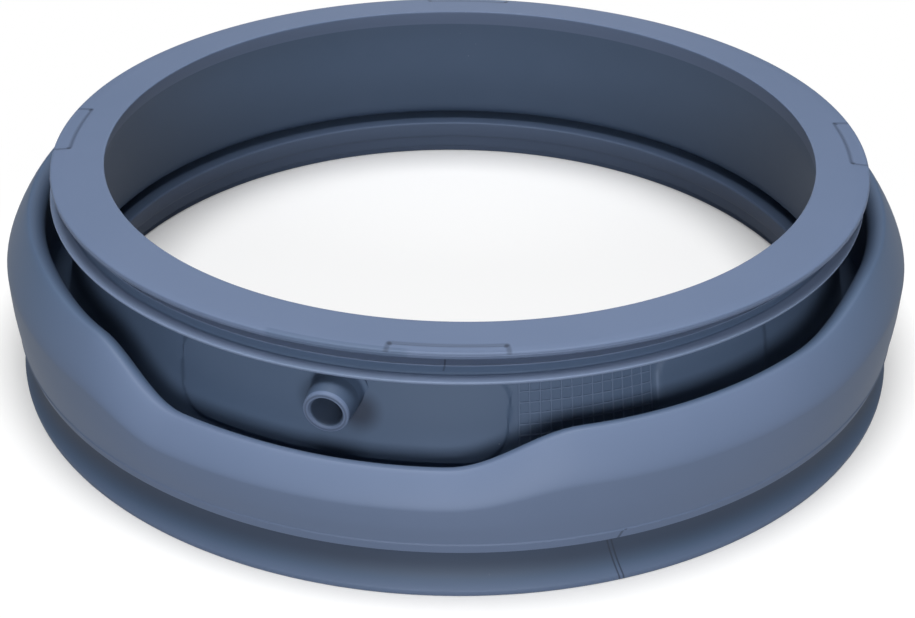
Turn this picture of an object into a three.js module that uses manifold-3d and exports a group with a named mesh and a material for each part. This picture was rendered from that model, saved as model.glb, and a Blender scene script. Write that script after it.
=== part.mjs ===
import * as THREE from "three";
import { mergeVertices } from "three/addons/utils/BufferGeometryUtils.js";
import Module from "manifold-3d";

// Door seal of a front-loading washing machine: one ring of moulded rubber.
// Millimetres, +Z up. The ring stands on its tub side, with its axis on Z and the floor at Z = 0.
// Angles go round the ring in degrees: 0 is the front, -Y, and they grow towards +X.

// Whole ring
const OVERALL_HEIGHT = 87.5;
const WALL = 3;
const EDGE_ROUND = 0.6;

// Door flange: the flat face that the door closes on
const OPENING_RADIUS = 148;
const FLANGE_RADIUS = 168;
const RIM_HEIGHT = 2.4;

// Groove under the flange, which the edge of the machine's front panel fills
const GROOVE_HEIGHT = 4.8;
const GROOVE_DEPTH = 9;

// Collar and clamp lip under the groove
const COLLAR_INSET = 2.9;
const COLLAR_HEIGHT = 4.3;
const LIP_OVERHANG = 2;
const LIP_THICKNESS = 1.5;
const LIP_RISE = 0.4;
const LIP_SLOPE = 1.6;

// Conical wall and the fold at its foot
const WALL_TOP_RADIUS = 158.5;
const FOLD_INNER_RADIUS = 165;
const TROUGH_WIDTH = 9;
const TROUGH_FLOOR = 25;

// Bulge: the bellows that stands round the wall. Its crest dips at the front to clear the nozzle.
const BULGE_RADIUS = 190.6;
const BULGE_FOOT_RADIUS = 189.3;
const CREST_RADIUS = 179.5;
const CREST_ROUND = 6;
const CREST_LEAN = 0.14;
const SHOULDER_SHARE = 0.42;
const CREST_FULL_HEIGHT = 69.5;
const CREST_STATIONS = [
  { angle: -66, height: CREST_FULL_HEIGHT },
  { angle: -47, height: 66 },
  { angle: -32.5, height: 50.1 },
  { angle: -1, height: 48.9 },
  { angle: 14, height: 62 },
  { angle: 45, height: 62.5 },
  { angle: 64, height: CREST_FULL_HEIGHT },
];

// Pull of the bulge's curves: how far each end holds its direction, as a share of what it spans
const SHOULDER_PULL = 0.25;
const CREST_PULL = 0.15;

// Band and lip at the foot of the bulge
const BAND_FOOT = 18.2;
const BAND_HEIGHT = 4.4;
const BAND_RADIUS = 188.5;
const BAND_STEP = 0.8;

// Tub side: web, inner leg, channel for the tub's lip, and skirt
const WEB_TOP = 19;
const WEB_THICKNESS = 4.5;
const WEB_ROUND = 1.5;
const LEG_TOP_RADIUS = 161.8;
const LEG_FOOT_RADIUS = 167.5;
const LEG_THICKNESS = 3.5;
const LEG_STEP = 1;
const LEG_STEP_HEIGHT = 3;
const CHANNEL_INNER_RADIUS = 168.5;
const CHANNEL_OUTER_RADIUS = 180.5;
const SKIRT_TOP_RADIUS = 184;
const SKIRT_FOOT_RADIUS = 190;
const SKIRT_THICKNESS = 3.5;
const SKIRT_BEAD = 2.2;
const SKIRT_CURVE = 3;

// Nozzle: a short tapered hose stub on the wall, close under the lip
const NOZZLE_ANGLE = -14.4;
const NOZZLE_TILT = 3.5;
const NOZZLE_REACH = 175;
const NOZZLE_DROP = 12.9;
const NOZZLE_MOUTH_RADIUS = 8.2;
const NOZZLE_BASE_RADIUS = 9.2;
const NOZZLE_FLARE = 1.6;
const NOZZLE_BORE_RADIUS = 5.5;
const NOZZLE_CHAMFER = 0.9;

// Raised panels on the wall, with round corners
const PANEL_RISE = 0.9;
const PANEL_DROP = 1.4;
const PANEL_TOP_CORNER = 10;
const PANEL_CORNER = 12;
const PANELS = [
  { from: -37, to: 6.3, bottom: 38.9 },
  { from: 26.3, to: 45, bottom: 41 },
];

// Shallow strips let into the outer edge of the flange
const STRIP_COUNT = 4;
const STRIP_ANGLE = -1;
const STRIP_SPAN = 14;
const STRIP_WIDTH = 3.7;
const STRIP_DEPTH = 0.4;

// Fineness of the model: flat faces round the ring, round the nozzle and along each curve
const AROUND_STEPS = 76;
const FRONT_CROWDING = 0.3;
const NOZZLE_SIDES = 20;
const FOLD_STEPS = 4;
const CREST_STEPS = 3;
const SHOULDER_STEPS = 4;
const FLANK_STEPS = 3;
const SKIRT_STEPS = 4;
const CORNER_STEPS = 4;
const ROUND_STEPS = 2;
const STRIP_STEPS = 3;
const SAME_POINT = 1e-4;
const DEGREE = Math.PI / 180;

// Heights and radii that follow from the sizes above
const GROOVE_TOP = OVERALL_HEIGHT - RIM_HEIGHT;
const GROOVE_FLOOR = GROOVE_TOP - GROOVE_HEIGHT;
const COLLAR_RADIUS = FLANGE_RADIUS - COLLAR_INSET;
const LIP_TOP = GROOVE_FLOOR - COLLAR_HEIGHT;
const LIP_RADIUS = FLANGE_RADIUS + LIP_OVERHANG;
const WALL_TOP = LIP_TOP - LIP_THICKNESS - LIP_SLOPE;
const FOLD_ROUND = TROUGH_WIDTH / 2 + WALL;
const FOLD_RADIUS = FOLD_INNER_RADIUS + FOLD_ROUND;
const FOLD_HEIGHT = TROUGH_FLOOR + TROUGH_WIDTH / 2;
const BAND_TOP = BAND_FOOT + BAND_HEIGHT;
const NOZZLE_HEIGHT = LIP_TOP - NOZZLE_DROP;
const PANEL_TOP = WALL_TOP - PANEL_DROP;

// Outer radius of the conical wall at a height
function wallRadius(height) {
  const share = (WALL_TOP - height) / (WALL_TOP - FOLD_HEIGHT);
  return THREE.MathUtils.lerp(WALL_TOP_RADIUS, FOLD_RADIUS - TROUGH_WIDTH / 2, share);
}

// Height of the bulge's crest at an angle: cosine blends between the stations
function crestHeight(angle) {
  const next = CREST_STATIONS.findIndex((station) => station.angle > angle);
  if (next < 1) {
    return CREST_FULL_HEIGHT;
  }
  const from = CREST_STATIONS[next - 1];
  const to = CREST_STATIONS[next];
  const share = (angle - from.angle) / (to.angle - from.angle);
  return THREE.MathUtils.lerp(from.height, to.height, (1 - Math.cos(share * Math.PI)) / 2);
}

// Half section of the ring where the crest has this height: a closed outline, x = radius, y = height
function section(crest) {
  const outline = [];
  const add = (corner) => {
    if (outline.length === 0 || outline.at(-1).distanceTo(corner) > SAME_POINT) {
      outline.push(corner);
    }
  };
  const point = (x, y) => add(new THREE.Vector2(x, y));
  const arc = (x, y, radius, start, end, clockwise, steps) => {
    const curve = new THREE.EllipseCurve(x, y, radius, radius, start, end, clockwise);
    curve.getPoints(steps).forEach(add);
  };
  const bend = (x0, y0, x1, y1, x2, y2, x3, y3, steps) => {
    const leaving = [new THREE.Vector2(x0, y0), new THREE.Vector2(x1, y1)];
    const arriving = [new THREE.Vector2(x2, y2), new THREE.Vector2(x3, y3)];
    const curve = new THREE.CubicBezierCurve(...leaving, ...arriving);
    curve.getPoints(steps).forEach(add);
  };
  const crestRadius = CREST_RADIUS + CREST_LEAN * (CREST_FULL_HEIGHT - crest);
  const crestCentre = crest - CREST_ROUND;
  const reach = BULGE_RADIUS - crestRadius;
  const shoulderDrop = SHOULDER_SHARE * (crest - BAND_TOP);
  const shoulder = crest - shoulderDrop;

  // Inner face of the wall, and the fold at its foot
  point(OPENING_RADIUS, OVERALL_HEIGHT - EDGE_ROUND);
  arc(FOLD_RADIUS, FOLD_HEIGHT, FOLD_ROUND, Math.PI, 2 * Math.PI, false, FOLD_STEPS);

  // Hollow of the bulge: under the crest and down the inside of its outer wall
  arc(crestRadius, crestCentre, CREST_ROUND - WALL, Math.PI, Math.PI / 2, true, ROUND_STEPS);
  bend(
    crestRadius, crest - WALL,
    crestRadius + reach * CREST_PULL, crest - WALL,
    BULGE_RADIUS - WALL, shoulder + shoulderDrop * SHOULDER_PULL,
    BULGE_RADIUS - WALL, shoulder - WALL / 2,
    FLANK_STEPS,
  );
  point(BULGE_FOOT_RADIUS - WALL, BAND_TOP);
  point(BULGE_FOOT_RADIUS - WALL - WEB_ROUND, WEB_TOP);

  // Web, inner leg and its set-back foot
  const legCorner = LEG_TOP_RADIUS + WEB_ROUND;
  arc(legCorner, WEB_TOP - WEB_ROUND, WEB_ROUND, Math.PI / 2, Math.PI, false, ROUND_STEPS);
  point(LEG_FOOT_RADIUS - LEG_STEP, LEG_STEP_HEIGHT);
  point(LEG_FOOT_RADIUS + LEG_STEP / 2, LEG_STEP_HEIGHT - LEG_STEP / 2);
  point(LEG_FOOT_RADIUS, 0);
  point(LEG_FOOT_RADIUS + LEG_THICKNESS, 0);

  // Channel, open downwards
  const channelTop = WEB_TOP - WEB_THICKNESS;
  point(CHANNEL_INNER_RADIUS, channelTop - WEB_ROUND);
  point(CHANNEL_INNER_RADIUS + WEB_ROUND, channelTop);
  point(CHANNEL_OUTER_RADIUS - WEB_ROUND, channelTop);
  point(CHANNEL_OUTER_RADIUS, channelTop - WEB_ROUND);
  point(SKIRT_FOOT_RADIUS - SKIRT_THICKNESS, 0);

  // Skirt: a bead at its foot and a hollow face above
  point(SKIRT_FOOT_RADIUS - EDGE_ROUND, 0);
  point(SKIRT_FOOT_RADIUS, EDGE_ROUND);
  bend(
    SKIRT_FOOT_RADIUS, SKIRT_BEAD,
    SKIRT_FOOT_RADIUS - SKIRT_CURVE, SKIRT_BEAD + SKIRT_CURVE,
    SKIRT_TOP_RADIUS, SKIRT_BEAD + 2 * SKIRT_CURVE,
    SKIRT_TOP_RADIUS, BAND_FOOT - EDGE_ROUND,
    SKIRT_STEPS,
  );

  // Lip and band, and the crease over them
  point(BAND_RADIUS - EDGE_ROUND, BAND_FOOT);
  point(BAND_RADIUS, BAND_FOOT + EDGE_ROUND);
  point(BULGE_FOOT_RADIUS - BAND_STEP, BAND_TOP - EDGE_ROUND);

  // Outer face of the bulge, over the crest and down into the trough
  const middle = (BAND_TOP + shoulder) / 2;
  bend(
    BULGE_FOOT_RADIUS, BAND_TOP,
    BULGE_RADIUS, middle,
    BULGE_RADIUS, middle,
    BULGE_RADIUS, shoulder,
    FLANK_STEPS,
  );
  bend(
    BULGE_RADIUS, shoulder,
    BULGE_RADIUS, shoulder + shoulderDrop * SHOULDER_PULL,
    crestRadius + reach * CREST_PULL, crest,
    crestRadius, crest,
    SHOULDER_STEPS,
  );
  arc(crestRadius, crestCentre, CREST_ROUND, Math.PI / 2, Math.PI, false, CREST_STEPS);
  arc(FOLD_RADIUS, FOLD_HEIGHT, TROUGH_WIDTH / 2, 2 * Math.PI, Math.PI, true, FOLD_STEPS);

  // Outer face of the wall, lip, collar, groove and rim
  point(WALL_TOP_RADIUS, WALL_TOP);
  point(LIP_RADIUS - EDGE_ROUND, LIP_TOP + LIP_RISE - LIP_THICKNESS);
  point(LIP_RADIUS, LIP_TOP + LIP_RISE - LIP_THICKNESS / 2);
  point(LIP_RADIUS - EDGE_ROUND / 2, LIP_TOP + LIP_RISE);
  point(COLLAR_RADIUS, LIP_TOP);
  point(COLLAR_RADIUS, GROOVE_FLOOR);
  point(FLANGE_RADIUS - GROOVE_DEPTH, GROOVE_FLOOR);
  point(FLANGE_RADIUS - GROOVE_DEPTH, GROOVE_TOP);
  point(FLANGE_RADIUS, GROOVE_TOP);
  point(FLANGE_RADIUS, OVERALL_HEIGHT - EDGE_ROUND);
  point(FLANGE_RADIUS - EDGE_ROUND, OVERALL_HEIGHT);
  point(OPENING_RADIUS + EDGE_ROUND, OVERALL_HEIGHT);
  point(OPENING_RADIUS, OVERALL_HEIGHT - EDGE_ROUND);
  return outline;
}

// Body turned round the ring's axis: a lathe whose every row takes the outline of its own angle.
// The rows lie closer together at the front, where the crest changes.
function turned(outlineAt) {
  const geometry = new THREE.LatheGeometry(outlineAt(0), AROUND_STEPS);
  const position = geometry.getAttribute("position");
  for (let step = 0; step <= AROUND_STEPS; step += 1) {
    const turn = (2 * Math.PI * (step % AROUND_STEPS)) / AROUND_STEPS - Math.PI;
    const angle = turn - FRONT_CROWDING * Math.sin(turn);
    const outline = outlineAt(angle / DEGREE);
    outline.forEach((corner, index) => {
      const x = corner.x * Math.sin(angle);
      const y = -corner.x * Math.cos(angle);
      position.setXYZ(step * outline.length + index, x, y, corner.y);
    });
  }
  return geometry;
}

// Frame at an angle of the ring: first axis along the ring, second up, third outwards.
// Its origin is on the ring's axis.
function outwardFrame(angle) {
  const along = new THREE.Vector3(Math.cos(angle * DEGREE), Math.sin(angle * DEGREE), 0);
  const up = new THREE.Vector3(0, 0, 1);
  return new THREE.Matrix4().makeBasis(along, up, along.clone().cross(up));
}

// Nozzle, or the bore through it: a turned body whose axis points outwards and a little down
function nozzlePart(outline) {
  const geometry = new THREE.LatheGeometry(outline, NOZZLE_SIDES);
  geometry.rotateX(Math.PI / 2 + NOZZLE_TILT * DEGREE);
  geometry.translate(0, NOZZLE_HEIGHT, NOZZLE_REACH);
  return geometry.applyMatrix4(outwardFrame(NOZZLE_ANGLE));
}

function nozzleGeometry() {
  const inside = OPENING_RADIUS - NOZZLE_REACH;
  const flareRadius = NOZZLE_BASE_RADIUS + NOZZLE_FLARE;
  const flareTop = wallRadius(NOZZLE_HEIGHT) - NOZZLE_REACH + NOZZLE_FLARE;
  const sweep = [NOZZLE_FLARE, NOZZLE_FLARE, -Math.PI / 2, -Math.PI, true];
  const flare = new THREE.EllipseCurve(flareRadius, flareTop, ...sweep);
  return nozzlePart([
    new THREE.Vector2(0, inside),
    new THREE.Vector2(flareRadius, inside),
    ...flare.getPoints(ROUND_STEPS),
    new THREE.Vector2(NOZZLE_MOUTH_RADIUS, -EDGE_ROUND),
    new THREE.Vector2(NOZZLE_MOUTH_RADIUS - EDGE_ROUND, 0),
    new THREE.Vector2(0, 0),
  ]);
}

function boreGeometry() {
  const inside = OPENING_RADIUS - NOZZLE_REACH;
  const mouthRadius = NOZZLE_BORE_RADIUS + NOZZLE_CHAMFER;
  return nozzlePart([
    new THREE.Vector2(0, inside),
    new THREE.Vector2(NOZZLE_BORE_RADIUS, inside),
    new THREE.Vector2(NOZZLE_BORE_RADIUS, -NOZZLE_CHAMFER),
    new THREE.Vector2(mouthRadius, 0),
    new THREE.Vector2(mouthRadius, WALL),
    new THREE.Vector2(0, WALL),
  ]);
}

// Core up to the middle of the wall: the nozzle's root ends on it, inside the rubber
function coreOutline() {
  return [
    new THREE.Vector2(0, FOLD_HEIGHT),
    new THREE.Vector2(wallRadius(FOLD_HEIGHT) - WALL / 2, FOLD_HEIGHT),
    new THREE.Vector2(wallRadius(LIP_TOP) - WALL / 2, LIP_TOP),
    new THREE.Vector2(0, LIP_TOP),
  ];
}

// Round-cornered outline of a panel, pushed outwards through the wall.
// Its corners are no taller together than the panel.
function panelPrism(panel) {
  const halfWidth = wallRadius(panel.bottom) * Math.sin(((panel.to - panel.from) / 2) * DEGREE);
  const low = panel.bottom;
  const fit = Math.min(1, (PANEL_TOP - low) / (PANEL_TOP_CORNER + PANEL_CORNER));
  const corner = PANEL_CORNER * fit;
  const topCorner = PANEL_TOP_CORNER * fit;
  const shape = new THREE.Shape();
  shape.moveTo(-halfWidth, PANEL_TOP - topCorner);
  shape.lineTo(-halfWidth, low + corner);
  shape.quadraticCurveTo(-halfWidth, low, -halfWidth + corner, low);
  shape.lineTo(halfWidth - corner, low);
  shape.quadraticCurveTo(halfWidth, low, halfWidth, low + corner);
  shape.lineTo(halfWidth, PANEL_TOP - topCorner);
  shape.quadraticCurveTo(halfWidth, PANEL_TOP, halfWidth - topCorner, PANEL_TOP);
  shape.lineTo(-halfWidth + topCorner, PANEL_TOP);
  shape.quadraticCurveTo(-halfWidth, PANEL_TOP, -halfWidth, PANEL_TOP - topCorner);
  const options = { depth: LIP_RADIUS, bevelEnabled: false, curveSegments: CORNER_STEPS };
  const geometry = new THREE.ExtrudeGeometry(shape, options);
  return geometry.applyMatrix4(outwardFrame((panel.from + panel.to) / 2));
}

// Cone that lies a panel's rise proud of the wall, from under the lip down into the trough
function coneOutline() {
  const low = Math.min(...PANELS.map((panel) => panel.bottom)) - WALL;
  return [
    new THREE.Vector2(wallRadius(low) - WALL / 2, low),
    new THREE.Vector2(wallRadius(low) + PANEL_RISE, low),
    new THREE.Vector2(wallRadius(WALL_TOP) + PANEL_RISE, WALL_TOP),
    new THREE.Vector2(wallRadius(WALL_TOP) - WALL / 2, WALL_TOP),
    new THREE.Vector2(wallRadius(low) - WALL / 2, low),
  ];
}

// Strip let into the flange: a bow-shaped cutter over its outer edge
function stripGeometry(angle) {
  const half = (STRIP_SPAN / 2) * DEGREE;
  const middle = (angle - 90) * DEGREE;
  const outer = FLANGE_RADIUS + STRIP_WIDTH;
  const shape = new THREE.Shape();
  shape.absarc(0, 0, outer, middle - half, middle + half, false);
  shape.absarc(0, 0, FLANGE_RADIUS - STRIP_WIDTH, middle + half, middle - half, true);
  const options = { depth: STRIP_DEPTH * 2, bevelEnabled: false, curveSegments: STRIP_STEPS };
  return new THREE.ExtrudeGeometry(shape, options).translate(0, 0, OVERALL_HEIGHT - STRIP_DEPTH);
}

const wasm = await Module();
wasm.setup();

// Closed solid from a geometry
function solid(geometry) {
  geometry.deleteAttribute("normal");
  geometry.deleteAttribute("uv");
  const merged = mergeVertices(geometry, SAME_POINT);
  const vertProperties = new Float32Array(merged.getAttribute("position").array);
  const triVerts = new Uint32Array(merged.index.array);
  return new wasm.Manifold(new wasm.Mesh({ numProp: 3, vertProperties, triVerts }));
}

// Geometry from a closed solid
function geometryOf(body) {
  const mesh = body.getMesh();
  const geometry = new THREE.BufferGeometry();
  geometry.setAttribute("position", new THREE.BufferAttribute(mesh.vertProperties, 3));
  geometry.setIndex(new THREE.BufferAttribute(mesh.triVerts, 1));
  geometry.computeVertexNormals();
  return geometry;
}

let seal = solid(turned((angle) => section(crestHeight(angle))));
const cone = solid(turned(coneOutline));
for (const panel of PANELS) {
  seal = seal.add(cone.intersect(solid(panelPrism(panel))));
}
const core = solid(turned(coreOutline));
seal = seal.add(solid(nozzleGeometry()).subtract(core));
seal = seal.subtract(solid(boreGeometry()));
for (let strip = 0; strip < STRIP_COUNT; strip += 1) {
  seal = seal.subtract(solid(stripGeometry(STRIP_ANGLE + (360 * strip) / STRIP_COUNT)));
}

const rubber = new THREE.MeshStandardMaterial({ color: 0x66768f, roughness: 0.55, metalness: 0 });
const mesh = new THREE.Mesh(geometryOf(seal), rubber);
mesh.name = "door_seal";

const group = new THREE.Group();
group.add(mesh);
export default group;
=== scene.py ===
# %% [markdown]
# A door seal for a front-loading washing machine
#
# The seal is one ring of moulded rubber, about 380 mm across and 88 mm high. Its flat flange is
# what the door closes on. Under the flange run a groove, a collar and a lip, then a conical wall
# with a hose nozzle, and round that wall stands a bulge, the bellows that lets the drum shake.
# The foot is a skirt and an inner leg, with a channel for the tub's lip between them.
#
# The CAD part already has every form and size. This lesson makes the fine surface: one smooth
# mesh, worked out with numpy from the ring's section, and a satin rubber for it.

import bpy
import numpy as np
from mathutils import Matrix, Vector


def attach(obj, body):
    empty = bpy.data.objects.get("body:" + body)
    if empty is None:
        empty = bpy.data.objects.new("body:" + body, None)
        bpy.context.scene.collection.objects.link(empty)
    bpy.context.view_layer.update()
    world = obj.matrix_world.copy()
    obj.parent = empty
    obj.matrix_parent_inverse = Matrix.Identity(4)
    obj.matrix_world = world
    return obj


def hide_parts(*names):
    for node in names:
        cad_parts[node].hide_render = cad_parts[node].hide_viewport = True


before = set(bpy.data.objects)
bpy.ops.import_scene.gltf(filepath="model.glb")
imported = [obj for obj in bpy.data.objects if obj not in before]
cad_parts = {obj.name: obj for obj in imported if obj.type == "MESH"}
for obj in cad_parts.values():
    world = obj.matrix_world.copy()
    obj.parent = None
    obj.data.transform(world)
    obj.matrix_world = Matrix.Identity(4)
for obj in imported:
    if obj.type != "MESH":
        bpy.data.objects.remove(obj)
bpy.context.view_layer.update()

# %% [markdown]
# The camera
#
# The photograph was taken from the front, a little above the ring. A camera is fitted to such a
# picture by comparing circles of known height on the part with their ellipses in the picture.
# That gave its place, its three angles and its focal length in pixels, which are used here as
# they are. All lengths on the part are in millimetres, and a mesh is scaled to metres at its end.

# %% Camera
MM = 0.001
IMAGE_WIDTH = 915
SENSOR_WIDTH = 36
FOCAL_PIXELS = 1490.9
CAMERA_PLACE = np.array([0, -578.6, 357.3]) * MM
CAMERA_PITCH, CAMERA_YAW, CAMERA_ROLL = np.radians([31.68, 0.09, 0.58])


def camera_axes(pitch, yaw, roll):
    """Right, up and forward: level axes turned by yaw, tipped down by pitch, then rolled."""
    ahead = np.array([np.sin(yaw) * np.cos(pitch), np.cos(yaw) * np.cos(pitch), -np.sin(pitch)])
    level = np.array([np.cos(yaw), -np.sin(yaw), 0])
    above = np.cross(level, ahead)
    right = np.cos(roll) * level + np.sin(roll) * above
    return right, np.cos(roll) * above - np.sin(roll) * level, ahead


right, up, ahead = camera_axes(CAMERA_PITCH, CAMERA_YAW, CAMERA_ROLL)
camera = bpy.data.objects.new("camera", bpy.data.cameras.new("camera"))
bpy.context.scene.collection.objects.link(camera)
turn = Matrix(np.column_stack([right, up, -ahead]).tolist()).to_4x4()
camera.matrix_world = Matrix.Translation(CAMERA_PLACE.tolist()) @ turn
camera.data.sensor_width = SENSOR_WIDTH
camera.data.lens = FOCAL_PIXELS * SENSOR_WIDTH / IMAGE_WIDTH
bpy.context.scene.camera = camera
bpy.context.scene.view_settings.view_transform = "Standard"
print("Focal length in millimetres:", round(camera.data.lens, 2))

# %% [markdown]
# The sizes of the ring
#
# Nearly all of these are the CAD part's own driving sizes. Two were fitted to the photograph
# once more: the groove's roof, which is 0.4 mm lower, and further on the strips in the flange,
# which are about a millimetre wider. Radii are measured from the ring's axis and heights from
# the floor, all in millimetres. Angles go round the ring in degrees: 0 is the front, 90 is +X.

# %% Sizes of the ring
OVERALL_HEIGHT = 87.5
WALL = 3
OPENING_RADIUS = 148
FLANGE_RADIUS = 168
GROOVE_TOP = 84.7
GROOVE_FLOOR = 80.3
GROOVE_DEPTH = 9
COLLAR_RADIUS = 165.1
LIP_TOP = 76
LIP_RADIUS = 170
LIP_THICKNESS = 1.5
LIP_RISE = 0.4
WALL_TOP = 72.9
WALL_TOP_RADIUS = 158.5
FOLD_RADIUS = 172.5
FOLD_HEIGHT = 29.5
TROUGH_WIDTH = 9
BULGE_RADIUS = 190.6
BULGE_FOOT_RADIUS = 189.3
CREST_RADIUS = 179.5
CREST_ROUND = 6
CREST_LEAN = 0.14
SHOULDER_SHARE = 0.42
BAND_FOOT = 18.2
BAND_TOP = 22.6
BAND_RADIUS = 188.5
BAND_BEAD = 1.1
WEB_TOP = 19
WEB_THICKNESS = 4.5
LEG_TOP_RADIUS = 161.8
LEG_FOOT_RADIUS = 167.5
LEG_THICKNESS = 3.5
CHANNEL_INNER_RADIUS = 168.5
CHANNEL_OUTER_RADIUS = 180.5
SKIRT_TOP_RADIUS = 184
SKIRT_FOOT_RADIUS = 190
SKIRT_THICKNESS = 3.5
SKIRT_BEAD = 2.2
CREST_FULL_HEIGHT = 69.5
CREST_ANGLES = np.array([-66, -47, -32.5, -1, 14, 45, 64])
CREST_HEIGHTS = np.array([CREST_FULL_HEIGHT, 66, 50.1, 48.9, 62, 62.5, CREST_FULL_HEIGHT])


def smooth(share):
    """Blend from 0 to 1 that starts and ends level: half of 1 minus the cosine of a half turn."""
    return (1 - np.cos(np.pi * np.clip(share, 0, 1))) / 2


def crest_height(angle):
    """Height of the bulge's crest: level blends between its stations, and full height behind."""
    place = np.clip(np.searchsorted(CREST_ANGLES, angle) - 1, 0, len(CREST_ANGLES) - 2)
    low, high = CREST_ANGLES[place], CREST_ANGLES[place + 1]
    share = smooth((angle - low) / (high - low))
    return CREST_HEIGHTS[place] * (1 - share) + CREST_HEIGHTS[place + 1] * share


def wall_radius(height):
    """Outer radius of the conical wall: an even slope from under the lip to the fold."""
    foot = FOLD_RADIUS - TROUGH_WIDTH / 2
    return foot + (WALL_TOP_RADIUS - foot) * (height - FOLD_HEIGHT) / (WALL_TOP - FOLD_HEIGHT)


print("Crest at the front:", round(float(crest_height(np.array([0.0]))[0]), 1), "mm")

# %% [markdown]
# Where the columns of the mesh lie
#
# The ring is a section carried round a circle, so its mesh is a grid: columns round the ring and
# rows round the section. Even columns would waste faces at the back and be too few where the
# crest dips and where the panels end. So a density is drawn over the angle, and the columns are
# put at equal steps of its running sum. It is the same idea as choosing quantiles.

# %% Angles of the columns
COLUMNS = 288
FINE_STEPS = 20001
PANEL_EDGES = np.array([-37, 6.3, 26.3, 45])
STRIP_EDGES = np.array([-98, -84, -8, 6, 82, 96, 172, 186])


def crowded(low, high, count, crowds):
    """Values from low to high, crowded round places: equal steps of the running sum of one plus
    a bell curve for each place."""
    places, strengths, widths = np.array(crowds).T
    fine = np.linspace(low, high, FINE_STEPS)
    reach = (fine[:, None] - places) / widths
    density = 1 + (strengths * np.exp(-reach**2)).sum(axis=1)
    total = np.concatenate([[0], np.cumsum((density[1:] + density[:-1]) / 2)])
    return np.interp(np.linspace(0, total[-1], count), total, fine)


# Each crowd is a place, a strength and a width in degrees: the whole front, then every edge
crowds = [(-5.0, 0.8, 50.0)]
crowds += [(edge, 3.0, 3.0) for edge in PANEL_EDGES]
crowds += [(edge, 5.0, 0.6) for edge in STRIP_EDGES]
angles = crowded(-180, 180, COLUMNS + 1, crowds)[:-1]
gaps = np.diff(angles)
print("Columns:", COLUMNS, "closest", round(gaps.min(), 2), "widest", round(gaps.max(), 2))

# %% [markdown]
# Curves of the section
#
# A section of rubber has few straight lines and no sharp corner. Four helpers draw it: a line, an
# arc, a cubic curve, and a run of corners that are each rounded off. They work on all the columns
# at once, so a radius or a height may be one number or one number for each column.

# %% Section helpers
crest = crest_height(angles)[:, None]


def pair(radius, height):
    """Points of the section for every column, from radii and heights."""
    both = np.broadcast_arrays(np.asarray(radius, float), np.asarray(height, float), crest)
    return np.stack(both[:2], axis=-1)


def cubic(start, leave, arrive, end, count):
    """Cubic curve: each of its four points weighted by the usual powers of t and 1 - t."""
    t = np.linspace(0, 1, count)[:, None]
    a, b, c, d = (pair(*point) for point in (start, leave, arrive, end))
    return a * (1 - t) ** 3 + 3 * b * t * (1 - t) ** 2 + 3 * c * t**2 * (1 - t) + d * t**3


def arc(radius, height, size, first, last, count):
    """Circle of the given size about a centre, from one direction to another in degrees."""
    turn = np.radians(np.linspace(first, last, count))
    return pair(radius + size * np.cos(turn), height + size * np.sin(turn))


def straight(start, end, count):
    """Even points on a line, without its two ends."""
    t = np.linspace(0, 1, count + 2)[1:-1, None]
    return pair(*start) * (1 - t) + pair(*end) * t


def rounded(corners, count=5):
    """Corners (radius, height, cut), each replaced by a quadratic curve that leaves its two
    sides at the cut's distance from the corner."""
    t = np.linspace(0, 1, count)[:, None]
    parts = []
    for (r0, h0, _), (r1, h1, cut), (r2, h2, _) in zip(corners, corners[1:], corners[2:]):
        before, corner, after = pair(r0, h0), pair(r1, h1), pair(r2, h2)
        back, on = before - corner, after - corner
        a = corner + back * cut / np.linalg.norm(back, axis=-1, keepdims=True)
        b = corner + on * cut / np.linalg.norm(on, axis=-1, keepdims=True)
        parts.append(a * (1 - t) ** 2 + 2 * corner * t * (1 - t) + b * t**2)
    return np.concatenate(parts, axis=1)


# %% [markdown]
# The outer wall, with its raised panels
#
# Two flat pads, under a millimetre high and with round corners, are moulded on the wall: a wide
# one that carries the nozzle and a shorter one to its right. They could be pieces of their own,
# but a real mould cuts them into the same surface, so here they lift the wall's own grid. The
# rows lie closer together where a panel ends.

# %% Outer wall
PANEL_RISE = 0.9
PANEL_STEP = 1.1
PANEL_TOP = 71.5
PANELS = [
    {"low": PANEL_EDGES[0], "high": PANEL_EDGES[1], "bottom": 38.9},
    {"low": PANEL_EDGES[2], "high": PANEL_EDGES[3], "bottom": 41},
]
PANEL_TOP_CORNER = 10
PANEL_CORNER = 12
WALL_ROWS = 54


def inside_rounded(x, y, half_width, half_height, corner):
    """Signed distance to a rectangle with round corners, above zero inside it."""
    dx = np.abs(x) - half_width + corner
    dy = np.abs(y) - half_height + corner
    outside = np.hypot(np.maximum(dx, 0), np.maximum(dy, 0))
    return corner - outside - np.minimum(np.maximum(dx, dy), 0)


def panel_lift(angle, height):
    """Rise of the panels over the wall: a level blend over the step at each panel's outline."""
    lift = 0
    for panel in PANELS:
        middle = (panel["low"] + panel["high"]) / 2
        half_width = np.radians(panel["high"] - panel["low"]) / 2 * wall_radius(panel["bottom"])
        half_height = (PANEL_TOP - panel["bottom"]) / 2
        x = np.radians(angle - middle) * wall_radius(height)
        y = height - panel["bottom"] - half_height
        corner = np.where(y > 0, PANEL_TOP_CORNER, PANEL_CORNER)
        lift = lift + smooth(inside_rounded(x, y, half_width, half_height, corner) / PANEL_STEP)
    return PANEL_RISE * lift


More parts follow.
